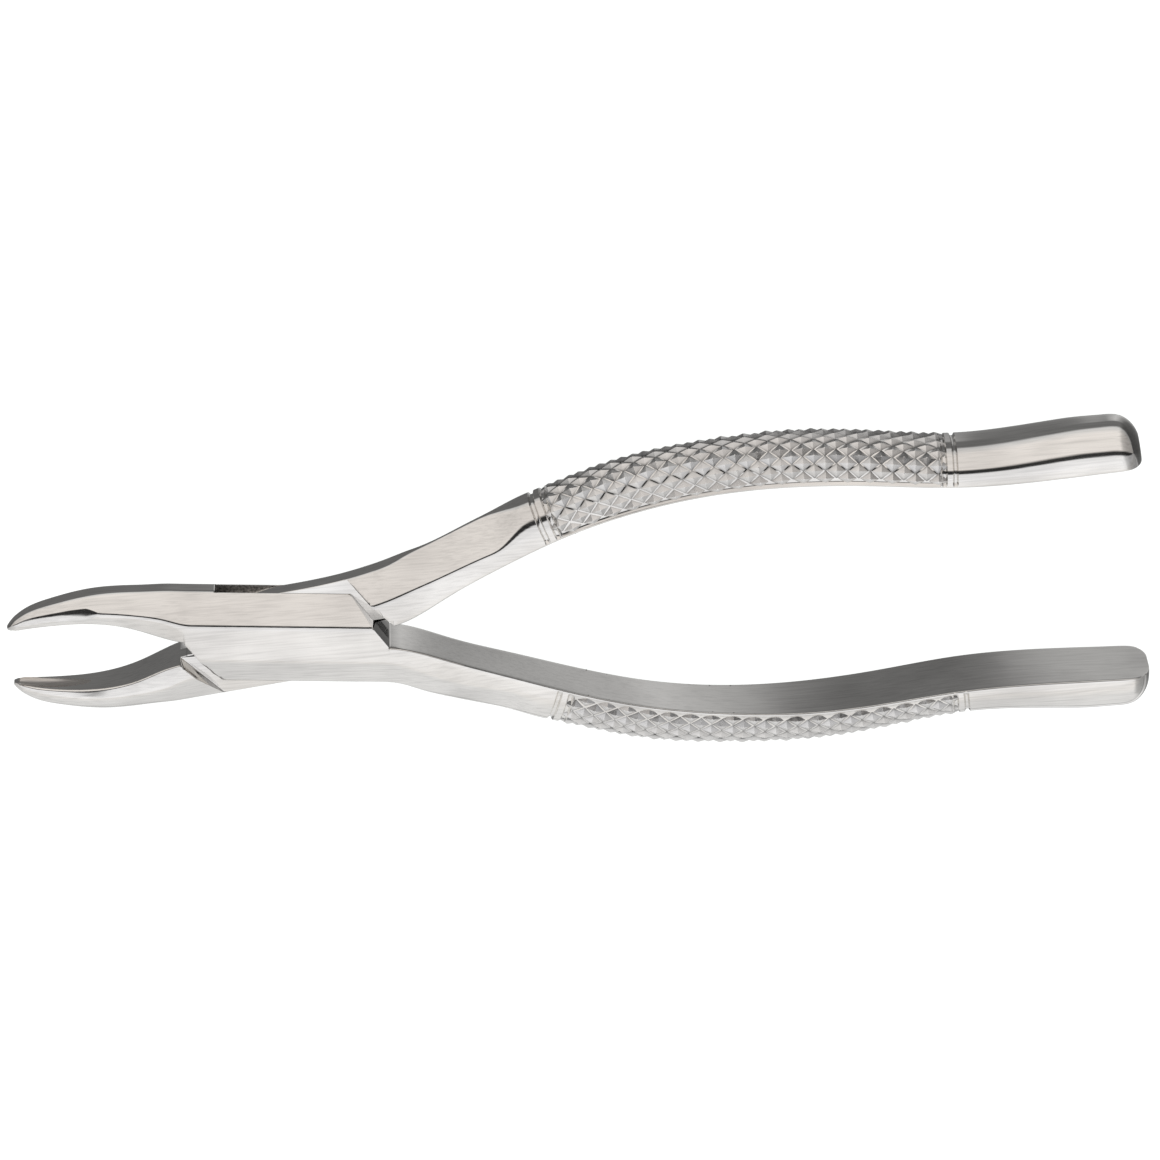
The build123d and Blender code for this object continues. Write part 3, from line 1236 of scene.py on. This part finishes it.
    def knurl_lattice(self) -> tuple[np.ndarray, np.ndarray, np.ndarray]:
        """Where the peaks of the knurling stand.

        Returns:
            Their base points, the handle's direction there and the direction they point in.
        """
        curve = self.handle_curve()
        first, last = self.knurl_span()
        pitch, girth = self.knurl.long_pitch / 2, self.knurl.short_pitch / 2
        fine = np.linspace(first, last, CROWN_STEPS)
        sections = [self.section(curve, x) for x in fine]
        crown = np.array([s.placed(np.zeros(1), np.array((s.depth,)), -1)[0] for s in sections])
        length = np.concatenate(((0,), np.cumsum(np.linalg.norm(np.diff(crown, axis=0), axis=1))))
        points, along, outward = [], [], []
        rows = int((length[-1] - pitch * self.knurl.end_gap) / pitch)
        start = (length[-1] - rows * pitch) / 2
        for i in range(rows + 1):
            x = float(np.interp(start + i * pitch, length, fine))
            arc, skin, normal = self.surface(curve, x)
            next_arc, next_skin, _ = self.surface(curve, x + PROBE)
            for j in range(-self.knurl.most_across, self.knurl.most_across + 1):
                place = j * girth
                if (i + j) % 2 or abs(place) > arc[-1] - self.knurl.margin:
                    continue
                here = self.read(arc, skin, place)
                ahead = self.read(next_arc, next_skin, place)
                points.append(here)
                along.append((ahead - here) / np.linalg.norm(ahead - here))
                outward.append(self.read(arc, normal, place, mirrored=True))
        return np.array(points), np.array(along), np.array(outward)

    def surface(self, curve: Spline, x: float) -> tuple[np.ndarray, np.ndarray, np.ndarray]:
        """The back of the handle at x, from the middle of the crown to the flat.

        Args:
            curve: the handle's curve.
            x: where along the handle.

        Returns:
            Length round the skin, the skin's points and its outward directions, on the +z side.
        """
        section = self.section(curve, x)
        half = self.sunk(section, self.knurl.sink, self.knurl.margin)[::-1]
        half = half[: np.argmax(half[:, 1] < self.plain_rim[1])]
        skin = section.placed(half[:, 0], half[:, 1], -1)
        arc = np.concatenate(((0,), np.cumsum(np.linalg.norm(np.diff(half, axis=0), axis=1))))
        run = np.gradient(half, axis=0)
        run[0] = (1.0, 0.0)
        out = np.stack((-run[:, 1], run[:, 0]), axis=1)
        out /= np.linalg.norm(out, axis=1)[:, None]
        base = section.placed(np.zeros(1), np.zeros(1), -1)
        normal = section.placed(out[:, 0], out[:, 1], -1) - base
        return arc, np.concatenate((skin, [[section.z] * 3])), np.concatenate((normal, [[0.0] * 3]))

    def read(self, arc: np.ndarray, rows: np.ndarray, place: float,
             mirrored: bool = False) -> np.ndarray:
        """Reads the handle's back at a length round from the crown.

        Args:
            arc: lengths round the skin.
            rows: values there, with the handle's middle height as a last row.
            place: the length, negative towards the rear.
            mirrored: whether the rows are directions, which turn about nought.

        Returns:
            The interpolated row.
        """
        found = np.array([np.interp(abs(place), arc, rows[:-1, k]) for k in range(3)])
        if place < 0:
            middle = 0.0 if mirrored else rows[-1, 2]
            found[2] = 2 * middle - found[2]
        return found

    # -- cuts

    def cutters(self) -> list[bpy.types.Object]:
        """Closed forms that are cut away from the half."""
        raise NotImplementedError

    def role(self, centre: Vector, normal: Vector) -> Role:
        """Finish of a patch, by its place and direction in the half's own layout.

        Args:
            centre: the middle of the patch, in metres.
            normal: its outward direction.

        Returns:
            The finish.
        """
        lock = self.lock
        x, y, z = (value / MM for value in centre)
        ground = abs(y - self.hollow(x, z - lock.mid)) < self.hollow_fit and normal.y < -0.2
        if x < -lock.root_reach and ground:
            return Role.SCOOP
        if x > lock.root_reach and normal.y > 0.8:
            return Role.INNER_FLAT
        return self.lock_role(x, y, z, normal)

    def lock_role(self, x: float, y: float, z: float, normal: Vector) -> Role:
        """Finish of a patch inside the lock."""
        return Role.POLISHED

    def build(self) -> bpy.types.Object:
        """Makes the forging: two bars joined, cut, edges broken, patches finished.

        Returns:
            The finished piece.
        """
        forging = self.beak_bar()
        combine(forging, self.handle_bar(), "UNION")
        for cutter in self.cutters():
            combine(forging, cutter, "DIFFERENCE")
        self.break_edges(forging.data)
        forging.data.materials.clear()
        for role in Role:
            forging.data.materials.append(self.finishes[role])
        for face in forging.data.polygons:
            face.material_index = self.role(face.center, face.normal).value
        if self.side is Side.LOWER:
            forging.data.transform(Matrix.Scale(-1, 4, (0, 1, 0)))
            forging.data.flip_normals()
        forging.data.set_sharp_from_angle(angle=SMOOTH_ANGLE)
        forging.name = self.name
        return forging

    def break_edges(self, mesh: bpy.types.Mesh) -> None:
        """Breaks the sharp edges of the lock with a small bevel.

        Args:
            mesh: the forging's mesh, which is changed.
        """
        loose = bmesh.new()
        loose.from_mesh(mesh)
        bmesh.ops.remove_doubles(loose, verts=loose.verts, dist=0.02 * MM)
        bmesh.ops.dissolve_degenerate(loose, edges=loose.edges, dist=0.01 * MM)
        reach = (self.lock.root_reach + 2) * MM
        sharp = [
            edge for edge in loose.edges
            if len(edge.link_faces) == 2
            and edge.calc_face_angle(0) > self.broken_angle
            and max(abs(v.co.x) for v in edge.verts) < reach
            and min(v.co.xy.length for v in edge.verts) > self.lock.head_radius * 1.1 * MM
        ]
        bmesh.ops.bevel(loose, geom=sharp, offset=self.broken_edge * MM, segments=2, profile=0.6,
                        affect="EDGES", clamp_overlap=False, miter_outer="ARC")
        for face in loose.faces:
            face.smooth = True
        loose.to_mesh(mesh)
        loose.free()

    def make_knurl(self, group: bpy.types.NodeTree) -> bpy.types.Object:
        """Makes the knurling of the handle, on the half's own side.

        Args:
            group: the node tree that sets the peaks.

        Returns:
            The finished piece.
        """
        points, along, outward = self.knurl_lattice()
        if self.side is Side.LOWER:
            turn = np.array((1.0, -1.0, 1.0))
            points, along, outward = points * turn, along * turn, outward * turn
        base = points - outward * self.knurl.buried
        return self.knurl.make(self.name + "_knurl", base, along, outward, group)


class BoxHalf(Half):
    """The half whose two cheeks hold the tongue between them."""

    def cutters(self) -> list[bpy.types.Object]:
        """The cheek ends, the slot and the rivet's countersunk hole.

        Returns:
            The cutting forms.
        """
        lock = self.lock
        start = lock.cheek_line(lock.root_gap + 0.03)
        below = [start, (start[0] - 0.5, start[1] - 0.8), (-30.0, -FAR), lock.cheek_line(-FAR)]
        across, up = lock.normal
        tip = (-lock.root_reach + lock.web_tip * up, lock.root_gap - lock.web_tip * across)
        wall = [(-lock.web_reach, FAR), (-lock.web_reach, lock.web_root_gap), tip,
                (tip[0] - lock.web_tip, tip[1] - lock.web_reach), (-lock.web_reach, -FAR)]
        low, high = lock.mid - lock.slot / 2, lock.mid + lock.slot / 2
        return [
            prism("cheek_end_a", below, BELOW, ABOVE),
            prism("cheek_end_b", opposite(below), BELOW, ABOVE),
            prism("slot", wall + opposite(wall), low, high),
            turned_form("rivet_hole", rivet_profile(lock, 0.5), lock.sides),
        ]

    def lock_role(self, x: float, y: float, z: float, normal: Vector) -> Role:
        """The slot's walls and its webs are left rough and dark, the darkness partly painted shade.

        Args:
            x: place along the part.
            y: height over the centre plane; not used.
            z: place through the thickness.
            normal: the patch's outward direction.

        Returns:
            The finish.
        """
        lock = self.lock
        deep = abs(z - lock.mid) < lock.slot / 2 + 0.01
        if deep and abs(x) < lock.root_reach and (abs(normal.z) > 0.9 or abs(normal.x) > 0.9):
            return Role.SLOT
        return Role.POLISHED


class TongueHalf(Half):
    """The half whose thin tongue passes through the box."""

    def cutters(self) -> list[bpy.types.Object]:
        """The waist, the two recesses beside the tongue and the bore.

        Returns:
            The cutting forms.
        """
        lock = self.lock
        reach = lock.web_reach - lock.stop_clearance
        web = np.degrees(np.arctan2(lock.web_root_gap, lock.web_reach))
        inner = 180 + lock.closing - web + lock.waist_clear
        stop = 180 - lock.opening
        turns = np.radians(np.linspace(inner, stop, lock.arc_steps))
        arc = [(reach * cos(a), -reach * sin(a)) for a in turns]
        square = (cos(radians(stop)), -sin(radians(stop)))
        away = (arc[-1][0] + FAR * square[1], arc[-1][1] - FAR * square[0])
        if away[1] > 0:
            away = (arc[-1][0] - FAR * square[1], arc[-1][1] + FAR * square[0])
        below = [(-lock.root_reach - 0.03, lock.root_gap + 0.01), *arc, away, (-30.0, -FAR),
                 (-16.5, 0.6)]
        band = lock.corner_reach + lock.shoulder_clearance
        turn = radians(lock.cheek_angle + lock.closing)
        corners = [(-band, -30), (band, -30), (band, 30), (-band, 30)]
        along, across = cos(turn), sin(turn)
        recess = [(x * along + y * across, -x * across + y * along) for x, y in corners]
        low, high = lock.mid - lock.tongue / 2, lock.mid + lock.tongue / 2
        radius = lock.pin_radius + lock.pin_clearance
        bore = [(0, BELOW), (radius, BELOW), (radius, ABOVE), (0, ABOVE)]
        return [
            prism("waist_a", below, BELOW, ABOVE),
            prism("waist_b", opposite(below), BELOW, ABOVE),
            prism("recess_front", recess, high, ABOVE),
            prism("recess_rear", recess, BELOW, low),
            turned_form("bore", bore, lock.sides),
        ]


def rivet_profile(lock: LockSizes, beyond: float) -> list[tuple]:
    """Outline of the rivet, or of the hole that it fills.

    Args:
        lock: the lock's sizes.
        beyond: how far a cutter stands beyond the faces.

    Returns:
        (radius, height) corners.
    """
    head, top = lock.head_radius, lock.thickness
    profile = [(head, 0.0), (lock.pin_radius, lock.head_depth),
               (lock.pin_radius, top - lock.head_depth), (head, top)]
    if beyond:
        profile = [(head, -beyond), *profile, (head, top + beyond)]
    return [(0.0, -beyond), *profile, (0.0, top + beyond)]


@dataclass
class PivotPin:
    """Rivet whose heads are ground flush with the cheeks."""

    lock: LockSizes
    finish: bpy.types.Material

    def build(self) -> bpy.types.Object:
        """Makes the rivet.

        Returns:
            The finished piece.
        """
        pin = turned_form("pivot_rivet", rivet_profile(self.lock, 0.0), self.lock.sides)
        pin.data.materials.append(self.finish)
        pin.data.set_sharp_from_angle(angle=SMOOTH_ANGLE)
        return pin


# ---------------------------------------------------------------- studio


@dataclass
class Studio:
    """Pale floor, soft light all round and the camera."""

    target: tuple = (46.08, 4.17, 2.57)
    tilt: float = 26.0
    roll: float = 4.5
    frame_width: float = 180.4
    lens: float = 200.0
    sensor: float = 36.0
    warm: tuple = (0.87, 0.83, 0.80)
    cool: tuple = (0.90, 0.90, 0.915)
    round_stops: tuple = (  # round the X axis: from -Y by -Z, +Y and +Z back to -Y
        (0.0, 0.77), (0.062, 0.77), (0.076, 0.36), (0.094, 0.92), (0.118, 0.92), (0.14, 0.3),
        (0.19, 0.16), (0.32, 0.15), (0.42, 0.16), (0.438, 0.66), (0.50, warm),
        (0.56, (0.82, 0.785, 0.755)), (0.66, warm), (0.680, 0.03), (0.711, 0.03), (0.722, cool),
        (0.80, cool), (0.85, (0.86, 0.845, 0.83)), (0.93, 0.79), (1.0, 0.77),
    )
    side_stops: tuple = (  # from -X to +X
        (0.0, 0.7), (0.2, 0.95), (0.35, 1.0), (0.70, 1.0), (0.78, 0.6), (0.9, 0.42), (1.0, 0.38),
    )
    patch_stops: tuple = (  # a patch of glow below the forceps, from -X to +X
        (0.0, 0.0), (0.485, 0.0), (0.52, 0.05), (0.55, 0.24), (0.6, 0.42), (0.635, 0.32),
        (0.675, 0.15), (0.75, 0.03), (1.0, 0.0),
    )
    patch_limits: tuple = ((0.19, 0.0), (0.22, 1.0), (0.34, 1.0), (0.36, 0.0))

    def camera(self) -> None:
        """Puts the camera in front of the lock, tilted towards +Y."""
        lean, turn = radians(self.tilt), radians(self.roll)
        across = Vector((1, 0, 0))
        up, back = Vector((0, cos(lean), -sin(lean))), Vector((0, sin(lean), cos(lean)))
        right = across * cos(turn) - up * sin(turn)
        above = across * sin(turn) + up * cos(turn)
        data = bpy.data.cameras.new("camera")
        data.lens = self.lens
        data.sensor_width = self.sensor
        data.clip_end = 20
        made = bpy.data.objects.new("camera", data)
        distance = self.frame_width * self.lens / self.sensor
        place = (Vector(self.target) + back * distance) * MM
        turn_matrix = Matrix((right, above, back)).transposed().to_4x4()
        made.matrix_world = Matrix.Translation(place) @ turn_matrix
        bpy.context.scene.collection.objects.link(made)
        bpy.context.scene.camera = made

    def floor(self) -> None:
        """Lays a plain pale floor under the forceps."""
        low = min(corner[2] for corner in cad_bounds)
        loose = bmesh.new()
        bmesh.ops.create_grid(loose, x_segments=2, y_segments=2, size=3.0)
        mesh = bpy.data.meshes.new("floor")
        loose.to_mesh(mesh)
        loose.free()
        mesh.transform(Matrix.Translation((0, 0, low - 0.0005)))
        made = linked("floor", mesh)
        material, _, shader = fresh_material("pale_floor")
        shader.inputs["Base Color"].default_value = (0.35, 0.35, 0.35, 1)
        shader.inputs["Roughness"].default_value = 0.9
        shader.inputs["Emission Color"].default_value = PALE
        shader.inputs["Emission Strength"].default_value = 0.93
        mesh.materials.append(material)
        made.visible_glossy = False

    def world(self) -> None:
        """Soft light all round: bright above the front, darker towards +Y and the floor."""
        world = bpy.data.worlds.new("studio")
        bpy.context.scene.world = world
        world.use_nodes = True
        world.node_tree.nodes.clear()
        tree = Tree(world.node_tree)
        place = tree.add("ShaderNodeTexCoord").outputs["Generated"]
        x, y, z = tree.add("ShaderNodeSeparateXYZ", {"Vector": place}).outputs
        angle = tree.add("ShaderNodeMath", {0: z, 1: y}, operation="ARCTAN2").outputs["Value"]
        round_x = tree.add("ShaderNodeMapRange", {"Value": angle, "From Min": -pi, "From Max": pi})
        sideways = tree.add("ShaderNodeMapRange", {"Value": x, "From Min": -1.0})
        round_x, sideways = round_x.outputs["Result"], sideways.outputs["Result"]
        boxes = tree.mixed("MULTIPLY", tree.ramp(round_x, self.round_stops),
                           tree.ramp(sideways, self.side_stops))
        patch = tree.mixed("MULTIPLY", tree.ramp(sideways, self.patch_stops),
                           tree.ramp(round_x, self.patch_limits))
        lit = tree.mixed("ADD", boxes, patch)
        soft = tree.add("ShaderNodeBackground", {"Color": lit}).outputs["Background"]
        seen = tree.add("ShaderNodeBackground", {"Color": PALE}).outputs["Background"]
        direct = tree.add("ShaderNodeLightPath").outputs["Is Camera Ray"]
        mix = tree.add("ShaderNodeMixShader", {"Fac": direct, 1: soft, 2: seen})
        tree.add("ShaderNodeOutputWorld", {"Surface": mix.outputs["Shader"]})

    def light(self, name: str, place: tuple, aim: tuple, size: tuple, power: float) -> None:
        """Adds a soft box.

        Args:
            name: the light's name.
            place: where it hangs, in metres.
            aim: what it points at, in metres.
            size: its width and height.
            power: its power in watts.
        """
        data = bpy.data.lights.new(name, "AREA")
        data.shape = "RECTANGLE"
        data.size, data.size_y = size
        data.energy = power
        made = bpy.data.objects.new(name, data)
        made.location = place
        made.rotation_euler = (Vector(aim) - Vector(place)).to_track_quat("-Z", "Y").to_euler()
        bpy.context.scene.collection.objects.link(made)

    def build(self) -> None:
        """Sets up the whole studio."""
        self.camera()
        self.floor()
        self.world()
        self.light("soft_box", (0.05, -0.25, 0.75), (0.05, 0, 0), (0.7, 0.35), 0.06)
        self.light("side_box", (-0.7, 0.15, 0.5), (0.0, 0, 0), (0.4, 0.4), 0.06)
        bpy.context.scene.view_settings.view_transform = "Standard"


def main() -> None:
    """Builds the studio and every piece."""
    logging.basicConfig(level=logging.INFO, format="%(name)s: %(message)s")
    Studio().build()
    lock = LockSizes()
    flat = PolishedSteel("inner_flat_steel", roughness=(0.1, 0.17), line_turn=8.0)
    finishes = {
        Role.POLISHED: PolishedSteel().make(),
        Role.INNER_FLAT: flat.make(),
        Role.SLOT: ShadedRoughSlotSteel().make(),
        Role.SCOOP: GroundSteel().make(),
    }
    group = Knurl().tree(KnurlSteel().make())
    box = BoxHalf("box_forging", Side.UPPER, lock, finishes)
    tongue = TongueHalf("tongue_forging", Side.LOWER, lock, finishes)
    pin = PivotPin(lock, finishes[Role.POLISHED])
    pieces = [
        (box.build(), "box_half", "box_body", Slot.BOX),
        (box.make_knurl(group), None, "box_body", Slot.BOX),
        (tongue.build(), "tongue_half", "tongue_body", Slot.TONGUE),
        (tongue.make_knurl(group), None, "tongue_body", Slot.TONGUE),
        (pin.build(), "pivot_pin", "box_body", Slot.PIN),
    ]
    for piece, node, body, slot in pieces:
        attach(piece, body)
        if node:
            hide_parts(node)
        log.info("%s: %d faces", piece.name, len(piece.data.polygons))


if __name__ == "__main__":
    main()
